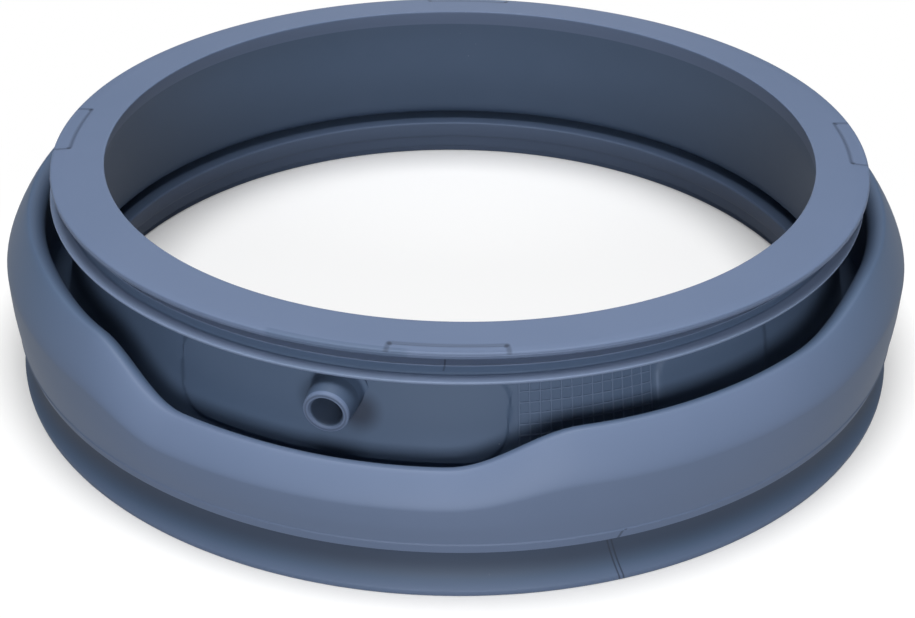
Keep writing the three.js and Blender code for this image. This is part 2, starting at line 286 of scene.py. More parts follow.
# Place, strength and width in millimetres: the panels' bottoms, then their tops
WALL_CROWDS = [(39.8, 3.0, 1.5), (45.0, 1.0, 6.0), (71.0, 2.0, 1.2), (66.0, 0.6, 5.0)]
wall_heights = crowded(FOLD_HEIGHT, WALL_TOP, WALL_ROWS, WALL_CROWDS)[1:]
wall_lift = panel_lift(angles[:, None], wall_heights[None, :])
WALL_SLOPE = np.arctan2(FOLD_RADIUS - TROUGH_WIDTH / 2 - WALL_TOP_RADIUS, WALL_TOP - FOLD_HEIGHT)
outer_wall = pair(
    wall_radius(wall_heights) + wall_lift * np.cos(WALL_SLOPE),
    wall_heights + wall_lift * np.sin(WALL_SLOPE),
)
print("Rows on the outer wall:", outer_wall.shape[1])
print("Highest lift of a panel:", round(float(wall_lift.max()), 2), "mm")

# %% [markdown]
# From the lip up to the rim
#
# This is the run that shows most, and it is made of small steps. The lip is a thin blade whose
# top rises a little outwards. Over it stand the collar, the groove that the machine's front
# panel goes into, and the rim, which has a fine parting line half way up, where the two halves
# of the mould met. Each corner below is a radius, a height and how much of it is rounded off.

# %% From the lip to the rim
EDGE_SLOPE_WIDTH = 3.2
EDGE_DROP = 0.35
RIM_RADIUS = FLANGE_RADIUS - 0.15
PARTING_HEIGHT = 86.05
PARTING_RISE = 0.18
COLLAR_HOLLOW = 0.5

lip_to_rim = rounded([
    (WALL_TOP_RADIUS - 1, WALL_TOP - 4, 0),
    (WALL_TOP_RADIUS, WALL_TOP, 0.8),
    (LIP_RADIUS - 0.5, LIP_TOP + LIP_RISE - LIP_THICKNESS, 0.5),
    (LIP_RADIUS, LIP_TOP + LIP_RISE - LIP_THICKNESS / 2, 0.35),
    (LIP_RADIUS - 0.2, LIP_TOP + LIP_RISE, 0.35),
    (COLLAR_RADIUS - 0.5, LIP_TOP + 0.2, 0.8),
    (COLLAR_RADIUS - COLLAR_HOLLOW, (LIP_TOP + GROOVE_FLOOR) / 2, 1.2),
    (COLLAR_RADIUS, GROOVE_FLOOR, 0.4),
    (FLANGE_RADIUS - GROOVE_DEPTH, GROOVE_FLOOR, 0.6),
    (FLANGE_RADIUS - GROOVE_DEPTH, GROOVE_TOP, 0.6),
    (RIM_RADIUS, GROOVE_TOP, 0.6),
    (RIM_RADIUS, PARTING_HEIGHT - 0.2, 0.08),
    (RIM_RADIUS + PARTING_RISE, PARTING_HEIGHT, 0.12),
    (RIM_RADIUS, PARTING_HEIGHT + 0.2, 0.08),
    (RIM_RADIUS, OVERALL_HEIGHT - EDGE_DROP, 0.7),
    (FLANGE_RADIUS - EDGE_SLOPE_WIDTH, OVERALL_HEIGHT, 0),
], count=4)
print("Rows from the lip to the rim:", lip_to_rim.shape[1])

# %% [markdown]
# The top of the flange
#
# The flange is flat, and its outer edge slopes down slightly. Four shallow strips are let into
# that edge, a quarter of a turn apart, with a finer line along their outline. Both are cut by
# lowering the grid's points, by the signed distance to a rectangle with round corners.

# %% Flange
FLANGE_ROWS = 26
QUARTER = 90
STRIP_DEPTH = 0.15
STRIP_EDGE = 0.5
LINE_DEPTH = 0.12
LINE_WIDTH = 0.8
STRIP_WIDTH = 4.6
STRIP_WIDENING = 0.5
STRIP_CENTRE = -1.3
STRIP_CORNER = 1.6
STRIP_SPAN = 14

flange_crowds = [
    (FLANGE_RADIUS - STRIP_WIDTH - STRIP_WIDENING / 2, 12.0, 1.3),
    (FLANGE_RADIUS - 2, 2.0, 1.5),
]
flange_ends = (OPENING_RADIUS + 1.5, FLANGE_RADIUS - 1.2)
flange_radii = crowded(*flange_ends, FLANGE_ROWS, flange_crowds)[::-1]
slope = np.clip((flange_radii - FLANGE_RADIUS + EDGE_SLOPE_WIDTH) / EDGE_SLOPE_WIDTH, 0, 1)
turn_from_strip = (angles[:, None] - STRIP_CENTRE + QUARTER / 2) % QUARTER - QUARTER / 2
along = np.radians(turn_from_strip) * FLANGE_RADIUS
across = flange_radii[None, :] - FLANGE_RADIUS
half_length = np.radians(STRIP_SPAN / 2) * FLANGE_RADIUS
strip_width = STRIP_WIDTH + STRIP_WIDENING * np.sin(np.radians(angles))[:, None] ** 2
inside_strip = inside_rounded(along, across, half_length, strip_width, STRIP_CORNER)
strip_cut = STRIP_DEPTH * smooth(inside_strip / STRIP_EDGE + 0.5)
line_cut = LINE_DEPTH * np.exp(-(inside_strip / LINE_WIDTH) ** 2)
flange = pair(flange_radii, OVERALL_HEIGHT - EDGE_DROP * slope - strip_cut - line_cut)
inner_edge = rounded([
    (OPENING_RADIUS + 5, OVERALL_HEIGHT, 0),
    (OPENING_RADIUS, OVERALL_HEIGHT, 0.9),
    (OPENING_RADIUS + 0.3, OVERALL_HEIGHT - 1, 0),
])
print("Rows on the flange:", flange.shape[1], "and at its inner edge:", inner_edge.shape[1])

# %% [markdown]
# The inner wall, the fold and the hollow of the bulge
#
# The wall runs down to a fold and comes back up as the bulge, 3 mm thick all along. This is its
# inner side. The bulge's crest is a circle, and its shoulder is a cubic curve that starts from
# the crest's height, so the whole side follows when the crest dips at the front.

# %% Inner side
FOLD_OUTER = TROUGH_WIDTH / 2 + WALL
fold_under = arc(FOLD_RADIUS, FOLD_HEIGHT, FOLD_OUTER, 180, 360, 9)
wall_start = (OPENING_RADIUS + 0.3, OVERALL_HEIGHT - 1)
inner_wall = straight(wall_start, (FOLD_RADIUS - FOLD_OUTER, FOLD_HEIGHT), 10)

crest_radius = CREST_RADIUS + CREST_LEAN * (CREST_FULL_HEIGHT - crest)
crest_centre = crest - CREST_ROUND
reach = BULGE_RADIUS - crest_radius
shoulder_drop = SHOULDER_SHARE * (crest - BAND_TOP)
shoulder = crest - shoulder_drop
hollow = np.concatenate([
    arc(crest_radius, crest_centre, CREST_ROUND - WALL, 180, 90, 5),
    cubic(
        (crest_radius, crest - WALL),
        (crest_radius + reach * 0.1, crest - WALL),
        (BULGE_RADIUS - WALL, shoulder + shoulder_drop * 0.2),
        (BULGE_RADIUS - WALL, shoulder - WALL / 2),
        6,
    )[:, 1:],
], axis=1)
print("Rows on the inner side:", inner_wall.shape[1] + fold_under.shape[1] + hollow.shape[1])

# %% [markdown]
# The leg, the channel, the skirt and the band
#
# The foot grips the lip of the machine's tub: an inner leg and an outer skirt hang from a web,
# with a channel between them. The leg's inner side goes down in two small steps. All of it is
# one more run of rounded corners, apart from the skirt's outer side, which is a cubic curve that
# swings out to the bead at its foot. The band over the skirt ends in a small bead, against which
# a clamp ring would lie.

# %% Foot, skirt and band
CHANNEL_TOP = WEB_TOP - WEB_THICKNESS
foot = rounded([
    (BULGE_RADIUS - WALL, 30, 0),
    (BULGE_FOOT_RADIUS - WALL, BAND_TOP, 1),
    (BULGE_FOOT_RADIUS - WALL - 1.5, WEB_TOP, 1),
    (LEG_TOP_RADIUS, WEB_TOP, 1.5),
    (LEG_FOOT_RADIUS - 3.4, 10.2, 0.4),
    (LEG_FOOT_RADIUS - 2.6, 9.4, 0.4),
    (LEG_FOOT_RADIUS - 1.6, 3.4, 0.4),
    (LEG_FOOT_RADIUS + 0.4, 2.6, 0.4),
    (LEG_FOOT_RADIUS, 0, 0.3),
    (LEG_FOOT_RADIUS + LEG_THICKNESS, 0, 0.6),
    (CHANNEL_INNER_RADIUS, CHANNEL_TOP, 1.5),
    (CHANNEL_OUTER_RADIUS, CHANNEL_TOP, 1.5),
    (SKIRT_FOOT_RADIUS - SKIRT_THICKNESS, 0, 0.6),
    (SKIRT_FOOT_RADIUS, 0, 0.5),
    (SKIRT_FOOT_RADIUS, SKIRT_BEAD, 0.6),
    (SKIRT_FOOT_RADIUS - 3, SKIRT_BEAD + 3, 0),
], count=4)
skirt = cubic(
    (SKIRT_FOOT_RADIUS - 0.6, SKIRT_BEAD + 0.6),
    (SKIRT_FOOT_RADIUS - 3, SKIRT_BEAD + 3),
    (SKIRT_TOP_RADIUS, SKIRT_BEAD + 6),
    (SKIRT_TOP_RADIUS, BAND_FOOT - 0.6),
    12,
)
band = rounded([
    (SKIRT_TOP_RADIUS, BAND_FOOT - 2, 0),
    (SKIRT_TOP_RADIUS, BAND_FOOT, 0.4),
    (BAND_RADIUS, BAND_FOOT, 0.6),
    (BAND_RADIUS, BAND_TOP - 1.2, 0.3),
    (BAND_RADIUS + BAND_BEAD, BAND_TOP - 0.4, 0.25),
    (BULGE_FOOT_RADIUS - 0.1, BAND_TOP + 0.3, 0.2),
    (BULGE_RADIUS, BAND_TOP + 8, 0),
], count=4)
print("Rows on the foot, skirt and band:", foot.shape[1] + skirt.shape[1] + band.shape[1])

# %% [markdown]
# The outer side of the bulge, and the trough
#
# The side rises from the band as one cubic curve and goes over the shoulder as another. Where
# the two meet, both stand upright, so no edge shows. The crest's circle leads into the trough,
# and with it the section closes.

# %% Bulge, trough and the whole section
middle = (BAND_TOP + shoulder) / 2
bulge = np.concatenate([
    cubic(
        (BULGE_FOOT_RADIUS, BAND_TOP + 0.8),
        (BULGE_RADIUS, middle),
        (BULGE_RADIUS, middle),
        (BULGE_RADIUS, shoulder),
        11,
    )[:, 1:],
    cubic(
        (BULGE_RADIUS, shoulder),
        (BULGE_RADIUS, shoulder + shoulder_drop * 0.25),
        (crest_radius + reach * 0.15, crest),
        (crest_radius, crest),
        18,
    )[:, 1:],
    arc(crest_radius, crest_centre, CREST_ROUND, 90, 180, 9)[:, 1:],
], axis=1)
trough_edge = (FOLD_RADIUS + TROUGH_WIDTH / 2, FOLD_HEIGHT)
trough_side = straight((crest_radius - CREST_ROUND, crest_centre), trough_edge, 5)
trough = arc(FOLD_RADIUS, FOLD_HEIGHT, TROUGH_WIDTH / 2, 0, -180, 11)

section = np.concatenate([
    inner_wall, fold_under, hollow, foot, skirt[:, 1:], band, bulge, trough_side, trough,
    outer_wall, lip_to_rim, flange, inner_edge,
], axis=1)
print("Rows round the section:", section.shape[1])

# %% [markdown]
# Carrying the section round
#
# A grid of points becomes a mesh when each cell is one four-sided face. Rows and columns both
# close on themselves here, so the ring has no open edge. The same helper makes the nozzle and
# the bars of the ridge grid, whose ends are closed by a cap with many sides.
#
# Rubber that stands free is never quite round. The flange lies a millimetre to the right of the
# foot and a millimetre in front of it, and its outer edge stands two further out at the two
# sides. Both are added to the grid.


# %% Mesh helpers
def grid_faces(columns, rows, close_columns, caps):
    """Faces of a grid whose rows close on themselves: cell (j, i) joins columns j and j + 1. The
    columns close too, or end in one cap each."""
    j = np.arange(columns if close_columns else columns - 1)[:, None]
    i = np.arange(rows)[None, :]
    k = (j + 1) % columns
    n = (i + 1) % rows
    corners = (j * rows + i, k * rows + i, k * rows + n, j * rows + n)
    faces = np.stack(np.broadcast_arrays(*corners), axis=-1).reshape(-1, 4).tolist()
    if caps:
        faces.append(list(range(rows)))
        faces.append(list(range(columns * rows - 1, (columns - 1) * rows - 1, -1)))
    return faces


def add_mesh(name, grids, close_columns=False, caps=True):
    """Object in metres from grids of points (columns, rows, 3) in millimetres."""
    vertices, faces = [], []
    for points in grids:
        start = sum(len(part) for part in vertices)
        cells = grid_faces(points.shape[0], points.shape[1], close_columns, caps)
        faces += [[corner + start for corner in face] for face in cells]
        vertices.append(points.reshape(-1, 3) * MM)
    mesh = bpy.data.meshes.new(name)
    mesh.from_pydata(np.concatenate(vertices).tolist(), [], faces)
    mesh.update()
    piece = bpy.data.objects.new(name, mesh)
    bpy.context.scene.collection.objects.link(piece)
    return piece


CENTIMETRES = 100


def volume(piece):
    """Volume in cubic centimetres: the sum of the signed volumes of the triangles' cones from
    the origin. It is above zero when the faces point outwards."""
    mesh = piece.data
    mesh.calc_loop_triangles()
    corners = np.empty(len(mesh.vertices) * 3)
    mesh.vertices.foreach_get("co", corners)
    index = np.empty(len(mesh.loop_triangles) * 3, dtype=np.int32)
    mesh.loop_triangles.foreach_get("vertices", index)
    a, b, c = corners.reshape(-1, 3)[index.reshape(-1, 3)].transpose(1, 0, 2)
    return float(np.einsum("ij,ij->i", a, np.cross(b, c)).sum() / 6 * CENTIMETRES**3)


def place(radius, angle, height):
    """Points from radius, angle in degrees and height: -Y is angle 0 and +X is 90."""
    turn = np.radians(angle)
    parts = np.broadcast_arrays(radius * np.sin(turn), -radius * np.cos(turn), height)
    return np.stack(parts, axis=-1)


FLANGE_SHIFT = np.array([1.3, -1.0, 0])
FLANGE_OVAL = 2
OVAL_BLEND = 4
lift = smooth((section[..., 1] - WALL_TOP) / (GROOVE_TOP - WALL_TOP))
share = smooth((section[..., 0] - FLANGE_RADIUS) / OVAL_BLEND + 1)
oval = FLANGE_OVAL * np.sin(np.radians(angles))[:, None] ** 2 * share * lift
ring_points = place(section[..., 0] + oval, angles[:, None], section[..., 1])
ring_points += lift[..., None] * FLANGE_SHIFT
ring = add_mesh("door_seal_rubber", [ring_points], True, False)
print("Ring:", len(ring.data.polygons), "faces,", round(volume(ring)), "cubic centimetres")

# %% [markdown]
# The nozzle
#
# The hose is pushed over a short tapered stub. It points outwards and a little down from the wall
# and flares where it meets it. It is turned: radii at stations along an axis. The bore is a
# second turned body, which is cut out of the ring and the stub together.

# %% Nozzle
NOZZLE_ANGLE = -14.4
NOZZLE_TILT = 3.5
NOZZLE_REACH = 175
NOZZLE_MOUTH_HEIGHT = 63.1
NOZZLE_MOUTH_RADIUS = 8.2
NOZZLE_BASE_RADIUS = 9.2
NOZZLE_FLARE = 1.6
NOZZLE_BORE_RADIUS = 5.5
MOUTH_CHAMFER = 0.9
MOUTH_ROUND = 0.6
STUB_SINK = 1.5
BORE_SINK = 12
NOZZLE_SIDES = 96


def turned(stations):
    """Turned body: stations (radius, distance along the nozzle's axis from its mouth)."""
    turn = np.radians(NOZZLE_ANGLE)
    tilt = np.radians(NOZZLE_TILT)
    out = np.array([np.sin(turn) * np.cos(tilt), -np.cos(turn) * np.cos(tilt), -np.sin(tilt)])
    side = np.array([np.cos(turn), np.sin(turn), 0])
    top = np.cross(out, side)
    mouth = place(NOZZLE_REACH, NOZZLE_ANGLE, NOZZLE_MOUTH_HEIGHT)
    radius, distance = np.array(stations, float).T
    around = np.linspace(0, 2 * np.pi, NOZZLE_SIDES, endpoint=False)
    wheel = np.cos(around)[:, None] * side - np.sin(around)[:, None] * top
    return mouth + distance[:, None, None] * out + radius[:, None, None] * wheel


base = wall_radius(NOZZLE_MOUTH_HEIGHT) - NOZZLE_REACH
flare_turn = np.linspace(0, np.pi / 2, 9)
flare = np.column_stack([
    NOZZLE_BASE_RADIUS + NOZZLE_FLARE * (1 - np.sin(flare_turn)),
    base + NOZZLE_FLARE * (1 - np.cos(flare_turn)),
])
mouth_turn = np.linspace(0, np.pi / 2, 6)
mouth = np.column_stack([
    NOZZLE_MOUTH_RADIUS - MOUTH_ROUND * (1 - np.cos(mouth_turn)),
    -MOUTH_ROUND * (1 - np.sin(mouth_turn)),
])
stub = np.concatenate([
    [[NOZZLE_BASE_RADIUS + NOZZLE_FLARE, base - STUB_SINK]], flare, mouth,
])
nozzle = add_mesh("nozzle", [turned(stub)])
bore = add_mesh("bore", [turned([
    (NOZZLE_BORE_RADIUS, base - BORE_SINK),
    (NOZZLE_BORE_RADIUS, -MOUTH_CHAMFER * 1.5),
    (NOZZLE_BORE_RADIUS + MOUTH_CHAMFER, 0),
    (NOZZLE_BORE_RADIUS + MOUTH_CHAMFER, MOUTH_CHAMFER),
])])
print("Nozzle:", round(volume(nozzle), 2), "bore:", round(volume(bore), 2), "cubic centimetres")

# %% [markdown]
# The ridge grid
#
# Between the two panels the wall carries a grid of fine ridges: fourteen upright ones, and as many
# level ones as fit. Each is a bar with an oval section carried along a path on the wall, and half
# of it is sunk in the rubber.

# %% Ridge grid
GRID_FIRST, GRID_LAST = 7.9, 25.3
GRID_COLUMNS = 14
GRID_BOTTOM, GRID_TOP = 36.5, 70.5
GRID_PITCH = 4.0
GRID_INSET = 1.5
UPRIGHT_POINTS, LEVEL_POINTS = 16, 30
RIDGE_WIDTH = 0.7
RIDGE_RISE = 0.35
BAR_SIDES = 12


def bar(path, side, out, width, rise):
    """Bar along a path: at each point an oval of half the width along side and the rise along
    out."""
    around = np.linspace(0, 2 * np.pi, BAR_SIDES, endpoint=False)[None, :, None]
    oval = side[:, None] * np.cos(around) * width / 2 + out[:, None] * np.sin(around) * rise
    return path[:, None] + oval


def wall_frame(angle, height):
    """Point on the wall, its level direction, its slope upwards and its outward normal."""
    point = place(wall_radius(height), angle, height)
    level = place(1, angle + 90, 0)
    outward = place(np.cos(WALL_SLOPE), angle, np.sin(WALL_SLOPE))
    return point, level, np.cross(outward, level), outward


upright_path = np.linspace(GRID_BOTTOM, GRID_TOP, UPRIGHT_POINTS)
level_path = np.linspace(GRID_LAST, GRID_FIRST, LEVEL_POINTS)
uprights, levels = [], []
for angle in np.linspace(GRID_FIRST, GRID_LAST, GRID_COLUMNS):
    point, level, _, outward = wall_frame(np.full(UPRIGHT_POINTS, angle), upright_path)
    uprights.append(bar(point, level, outward, RIDGE_WIDTH, RIDGE_RISE))
for height in np.arange(GRID_TOP - GRID_INSET, GRID_BOTTOM, -GRID_PITCH):
    point, _, slope_up, outward = wall_frame(level_path, np.full(LEVEL_POINTS, height))
    levels.append(bar(point, slope_up, outward, RIDGE_WIDTH, RIDGE_RISE))
upright_bars = add_mesh("upright_bars", uprights)
level_bars = add_mesh("level_bars", levels)
print("Ridges:", len(uprights), "upright of", round(volume(upright_bars), 3), "cubic centimetres")
print("Ridges:", len(levels), "level of", round(volume(level_bars), 3), "cubic centimetres")

# %% [markdown]
# Making it one piece
#
# The real seal is moulded in one piece, so the parts are joined and the bore is cut with the
# Boolean modifier. Its manifold solver keeps a closed mesh closed. The result replaces the CAD
# solid.


# %% Join and cut
def combine(body, tools):
    """Adds or cuts each tool, then keeps the result as the body's own mesh."""
    for operation, tool in tools:
        cut = body.modifiers.new(tool.name, "BOOLEAN")
        cut.operation = operation
        cut.solver = "MANIFOLD"
        cut.object = tool
    graph = bpy.context.evaluated_depsgraph_get()
    made = bpy.data.meshes.new_from_object(body.evaluated_get(graph))
    body.modifiers.clear()
    body.data = made
    for _, tool in tools:
        bpy.data.objects.remove(tool)


combine(ring, [
    ("UNION", nozzle),
    ("UNION", upright_bars),
    ("UNION", level_bars),
    ("DIFFERENCE", bore),
])
SHARP_ANGLE = 35
ring.data.shade_smooth()
ring.data.set_sharp_from_angle(angle=np.radians(SHARP_ANGLE))
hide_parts("door_seal")
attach(ring, "root")
ring.data.calc_loop_triangles()
print("Seal:", len(ring.data.loop_triangles), "triangles")
print("Seal:", round(volume(ring)), "cubic centimetres")

# %% [markdown]
# Satin rubber
#
# The rubber is a dull blue-grey with a soft sheen. Its surface shows a fine grain from the mould,
# slow waves in the thin walls, and a few pale specks of dust. All of that is worked out from the
# point's own place in the part, so it stays put when the camera moves.

# %% Shader helpers
# Numbers of sockets whose names aren't unique: the Mix node has a set for each kind of data
MIX_FACTOR, MIX_FIRST, MIX_SECOND, MIX_COLOUR = 0, 6, 7, 2
OBJECT_PLACE = 3


class Value:
    """A socket that can be used in sums: each operator adds the Math node of its name."""

    def __init__(self, tree, socket):
        self.tree = tree
        self.socket = socket

    def math(self, operation, *others, reverse=False):
        values = [self, *others]
        if reverse:
            values.reverse()
        return self.tree.node("ShaderNodeMath", {"operation": operation}, dict(enumerate(values)))

    def __add__(self, other):
        return self.math("ADD", other)

    def __sub__(self, other):
        return self.math("SUBTRACT", other)

    def __mul__(self, other):
        return self.math("MULTIPLY", other)

    def __truediv__(self, other):
        return self.math("DIVIDE", other)

    def __rsub__(self, other):
        return self.math("SUBTRACT", other, reverse=True)

    __radd__ = __add__
    __rmul__ = __mul__


class Tree:
    """Nodes of one material."""

    def __init__(self, name):
        self.material = bpy.data.materials.new(name)
        self.material.use_nodes = True
        self.nodes = self.material.node_tree.nodes
        self.links = self.material.node_tree.links
        self.nodes.clear()

    def node(self, kind, settings=None, inputs=None, output=0):
        """New node of a kind: its settings are made first, then its sockets get values or links."""
        made = self.nodes.new(kind)
        for name, setting in (settings or {}).items():
            setattr(made, name, setting)
        for name, value in (inputs or {}).items():
            if isinstance(value, Value):
                self.links.new(value.socket, made.inputs[name])
            else:
                made.inputs[name].default_value = value
        return Value(self, made.outputs[output])

    def ramp(self, value, low, high):
        """Level blend from 0 at low to 1 at high."""
        inputs = {"Value": value, "From Min": low, "From Max": high}
        return self.node("ShaderNodeMapRange", {"interpolation_type": "SMOOTHSTEP"}, inputs)

    def noise(self, place, scale, detail, roughness=0.5):
        """Noise over a place, from 0 to 1, with so many waves in a metre."""
        inputs = {"Vector": place, "Scale": scale, "Detail": detail, "Roughness": roughness}
        return self.node("ShaderNodeTexNoise", {}, inputs)

    def mix(self, factor, first, second):
        """Colour between two colours."""
        inputs = {MIX_FACTOR: factor, MIX_FIRST: first, MIX_SECOND: second}
        return self.node("ShaderNodeMix", {"data_type": "RGBA"}, inputs, MIX_COLOUR)


def largest(first, *others):
    """Largest of several values."""
    for other in others:
        first = first.math("MAXIMUM", other)
    return first


# %% [markdown]
# Marks on the rubber
#
# A seal that has been moulded, trimmed and packed carries marks: the joint across the skirt with
# its two cuts, a nick in the collar and one in the band. Painted shade darkens the fine groove
# round each strip, with a dark spot at its corners, and a painted shadow of the nozzle lies beside
# it. A picture could hold them, but a few formulas in a point's radius, height and angle round the
# ring place them just as well and never blur.

# %% Helpers for the marks
SOFT_END = 0.2
LINE_CORE = 0.2


def line(tree, offset, width):
    """1 where an offset in millimetres is near zero, 0 beyond the width."""
    return tree.ramp(offset.math("ABSOLUTE"), width, width * LINE_CORE)


def between(tree, value, low, high):
    """1 between two limits, with a blend that reaches a soft end's length either side of each."""
    rising = tree.ramp(value, low - SOFT_END, low + SOFT_END)
    return rising * tree.ramp(value, high + SOFT_END, high - SOFT_END)


def ball(tree, across, along, low, high):
    """1 within the low distance of a point and 0 beyond the high one, from two offsets."""
    return tree.ramp((across * across + along * along).math("SQRT"), high, low)


def arc_length(turn, angle, radius):
    """Length in millimetres round the ring from an angle, at a radius."""
    return (turn - angle) * float(np.radians(radius))


# %% [markdown]
# The strips and the joint
#
# The outline of a strip is the same round-cornered rectangle as in the mesh, written once more
# with nodes. The joint is two lines that lean a little, and the nick above them leans more.

# %% Painted shade of the strips, and marks of the joint
STRIP_LINE = 1.4
STRIP_LINE_SHARE = 0.4
SPOT_OFFSET = 1.1
SPOT_SIZES = (0.4, 1.7)
SPOT_SHARE = 0.8
JOINT_ANGLE = 16.95
JOINT_LEAN = 0.25
JOINT_GAP = 0.8
JOINT_LINE = 0.5
JOINT_SHARE = 0.75
BAND_NICK_OFFSET = 2.2
BAND_NICK_LEAN = 0.55
BAND_NICK_LINE = 0.8
NICK_SHARE = 0.6
OUTER_SIDE_RADII = (180, 182)
FLANGE_TOP_HEIGHTS = (86.2, 86.6)


def strip_outline_shade(tree, turn, radius, side):
    """Painted shade along the outline groove of the nearest strip, the same round-cornered
    rectangle as in the mesh, with a dark spot at each of its two corners."""
    quarter = (turn - STRIP_CENTRE).math("WRAP", QUARTER / 2, -QUARTER / 2)
    dx = arc_length(quarter, 0, FLANGE_RADIUS).math("ABSOLUTE") - (half_length - STRIP_CORNER)
    dy = (radius - FLANGE_RADIUS).math("ABSOLUTE") - side * side * STRIP_WIDENING
    dy = dy - (STRIP_WIDTH - STRIP_CORNER)
    far_x, far_y = dx.math("MAXIMUM", 0), dy.math("MAXIMUM", 0)
    outside = (far_x * far_x + far_y * far_y).math("SQRT")
    inside = STRIP_CORNER - outside - dx.math("MAXIMUM", dy).math("MINIMUM", 0)
    spot = ball(tree, dx - SPOT_OFFSET, dy - SPOT_OFFSET, *SPOT_SIZES)
    return largest(line(tree, inside, STRIP_LINE) * STRIP_LINE_SHARE, spot * SPOT_SHARE)


def joint_marks(tree, turn, radius, height):
    """Two lines across the skirt, at even distances from the joint, and the nick in the band."""
    outer_side = tree.ramp(radius, *OUTER_SIDE_RADII)
    drop = BAND_FOOT - height
    off_joint = arc_length(turn, JOINT_ANGLE, SKIRT_FOOT_RADIUS) - drop * JOINT_LEAN
    cuts = line(tree, off_joint.math("ABSOLUTE") - JOINT_GAP, JOINT_LINE)
    cuts = cuts * between(tree, height, -1, BAND_FOOT) * outer_side
    off_band = arc_length(turn, JOINT_ANGLE, BAND_RADIUS) - BAND_NICK_OFFSET + drop * BAND_NICK_LEAN
    nick = line(tree, off_band, BAND_NICK_LINE) * between(tree, height, BAND_FOOT, BAND_TOP)
    return largest(cuts * JOINT_SHARE, nick * outer_side * NICK_SHARE)


# %% [markdown]
# The nozzle and the collar
#
# Round the nozzle's mouth runs a fine line, its bore is darkened with painted shade, and a painted
# shadow of the nozzle lies on the wall to its right. These are soft shades, so they are kept apart
# from the sharp lines.

# %% Marks of the nozzle and the collar
COLLAR_NICK_ANGLE = -1.5
COLLAR_NICK_LINE = 0.5
COLLAR_NICK_HEIGHTS = (77.5, 81)
COLLAR_NICK_RADII = (160, 162)
# Painted shadow of the nozzle, on the wall to its right
NOZZLE_SHADOW_ANGLE = -11.6
NOZZLE_SHADOW_HEIGHT = 57
NOZZLE_SHADOW_SIZES = (2, 10)
NOZZLE_SHADOW_SHARE = 0.8
WALL_OUTER_RADII = (167, 165)
WALL_INNER_RADII = (150, 155)
BORE_EDGE = 0.8
BORE_DEPTHS = (0.6, 1.6)
BORE_SHARE = 0.7
MOUTH_RING_RADIUS = 7.2
MOUTH_RING_LINE = 0.5
MOUTH_RING_SHARE = 0.4
MOUTH_RING_RADII = (NOZZLE_REACH - 0.8, NOZZLE_REACH + 2)


def collar_nick(tree, turn, radius, height):
    """Short upright line in the collar."""
    off_nick = arc_length(turn, COLLAR_NICK_ANGLE, COLLAR_RADIUS)
    nick = line(tree, off_nick, COLLAR_NICK_LINE) * between(tree, height, *COLLAR_NICK_HEIGHTS)
    return nick * tree.ramp(radius, *COLLAR_NICK_RADII) * NICK_SHARE


def nozzle_line_and_shade(tree, turn, radius, height):
    """Line round the nozzle's mouth, and apart from it the painted shade in its bore and the
    painted shadow of the nozzle on the wall.
    """
    on_wall = tree.ramp(radius, *WALL_OUTER_RADII) * tree.ramp(radius, *WALL_INNER_RADII)
    off_nozzle_shadow = arc_length(turn, NOZZLE_SHADOW_ANGLE, WALL_TOP_RADIUS)
    nozzle_shadow = ball(tree, off_nozzle_shadow, height - NOZZLE_SHADOW_HEIGHT, *NOZZLE_SHADOW_SIZES) * on_wall
    across = arc_length(turn, NOZZLE_ANGLE, NOZZLE_REACH)
    rise = height - NOZZLE_MOUTH_HEIGHT
    off_axis = (across * across + rise * rise).math("SQRT")
    # Painted shade inside the bore
    in_bore = tree.ramp(off_axis, NOZZLE_BORE_RADIUS + BORE_EDGE, NOZZLE_BORE_RADIUS)
    in_bore = in_bore * tree.ramp(radius, *(NOZZLE_REACH - depth for depth in BORE_DEPTHS))
    mouth_ring = line(tree, off_axis - MOUTH_RING_RADIUS, MOUTH_RING_LINE)
    mouth_ring = mouth_ring * between(tree, radius, *MOUTH_RING_RADII)
    return mouth_ring * MOUTH_RING_SHARE, largest(nozzle_shadow * NOZZLE_SHADOW_SHARE, in_bore * BORE_SHARE)


# %% [markdown]
# Painted light and shade on the rubber
#
# Light and shade are painted on the rubber: faces open to the lamps are painted paler, and recessed
# rubber keeps the deep colour as painted shade. So one number, the painted light level, follows the
# form: it is the largest of a few areas, lower on the bulge's sides, less painted shade on the
# crest's inner half, under the band and on the nozzle's stub. An area is a product of blends, each
# between two heights or radii.

# %% Painted light and shade
FLANGE_HEIGHTS = (79.6, 80.2)
LIP_RADII = (165, 165.8)
LIP_HEIGHTS = (74, 75)
LEG_RADII = (169, 168.5)
LEG_HEIGHTS = (19.2, 18.8)
LEG_SHARE = 0.7
NEAR_NOZZLE_ANGLES = (9, 8)
NEAR_NOZZLE_HEIGHTS = (52, 53)
BULGE_RADII = (176, 183)
BULGE_HEIGHTS = (17.9, 18.3)
SIDE_ANGLES = (30, 70)
SIDE_LOSS = 0.95
SKIRT_HEIGHTS = (12, 0)
SKIRT_SHARE = 0.75
CREST_RADII = (172, 180)
CREST_INNER_RADII = (181, 175)
CREST_SHADE_HEIGHTS = (52, 60)
CREST_LOSS = 0.9
UNDER_BAND_RADII = (182, 183)
UNDER_BAND_TOP = (18.2, 18)
UNDER_BAND_FOOT = (1, 11)
UNDER_BAND_LOSS = 1.3
MOUTH_RADII = (NOZZLE_REACH - 1, NOZZLE_REACH + 2)
STUB_RADII = (166, NOZZLE_REACH - 1)
STUB_LOSS = 0.5


